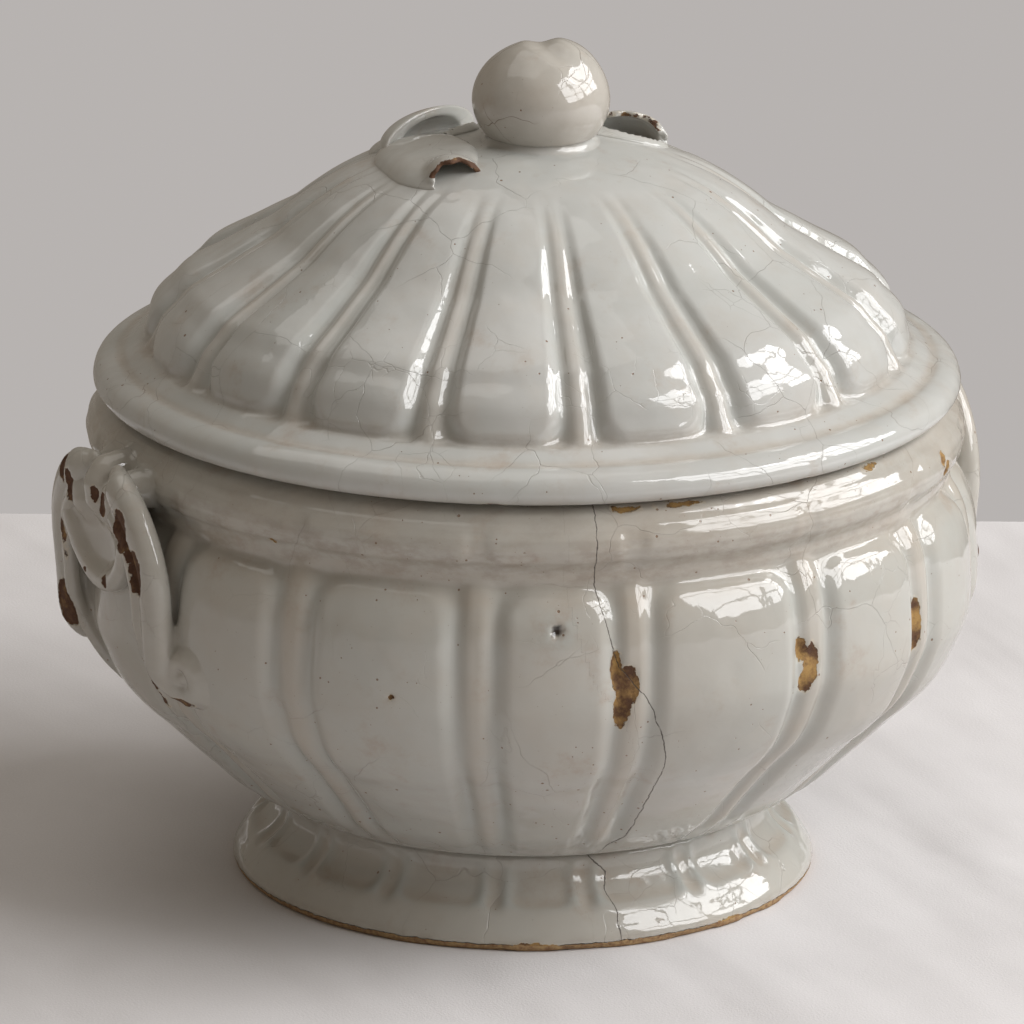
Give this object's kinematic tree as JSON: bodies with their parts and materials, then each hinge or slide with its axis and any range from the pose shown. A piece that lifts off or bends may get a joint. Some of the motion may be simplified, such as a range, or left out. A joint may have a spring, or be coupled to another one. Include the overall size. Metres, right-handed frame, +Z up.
{
  "type": "soup tureen",
  "caption": "Round footed soup tureen in white tin glaze, with a ribbed belly, a loose ribbed dome lid with a fruit knob and curled leaves, and two shell handles.",
  "frame": {"origin": "centre of the foot's resting face, on the bowl's turning axis", "axes": "+Z up along the turning axis, +X through the right handle, -X through the left handle, -Y towards the front"},
  "size_m": [0.2953, 0.282, 0.2651],
  "materials": {
    "white_glaze": "glossy white tin glaze, pooled and crazed",
    "foot_glaze": "glossy white tin glaze, bare clay at the resting edge",
    "handle_glaze": "glossy white tin glaze, chipped to the clay",
    "lid_glaze": "glossy white tin glaze, finely crazed",
    "fruit_glaze": "glossy white tin glaze, crazed",
    "leaf_glaze": "glossy white tin glaze, chipped edges"
  },
  "bodies": {
    "bowl_body": {"bowl": "white_glaze", "foot_ring": "foot_glaze", "left_handle_front_strap": "handle_glaze", "left_handle_back_strap": "handle_glaze", "left_handle_shell": "handle_glaze", "right_handle_front_strap": "handle_glaze", "right_handle_back_strap": "handle_glaze", "right_handle_shell": "handle_glaze"},
    "ring_body": {"lid_locating_ring": "lid_glaze"},
    "lid_body": {"lid": "lid_glaze", "knob_collar": "lid_glaze", "knob_fruit": "fruit_glaze", "leaf_front": "leaf_glaze", "leaf_back": "leaf_glaze", "leaf_right": "leaf_glaze"}
  },
  "joints": [
    {"name": "lid_lift", "type": "slide", "parent": "bowl_body", "child": "ring_body", "axis": [0, 0, 1], "range_m": [0, 0.11]},
    {"name": "lid_turn", "type": "hinge", "parent": "ring_body", "child": "lid_body", "pos_m": [0, 0, 0.155], "axis": [0, 0, 1], "continuous": true}
  ]
}
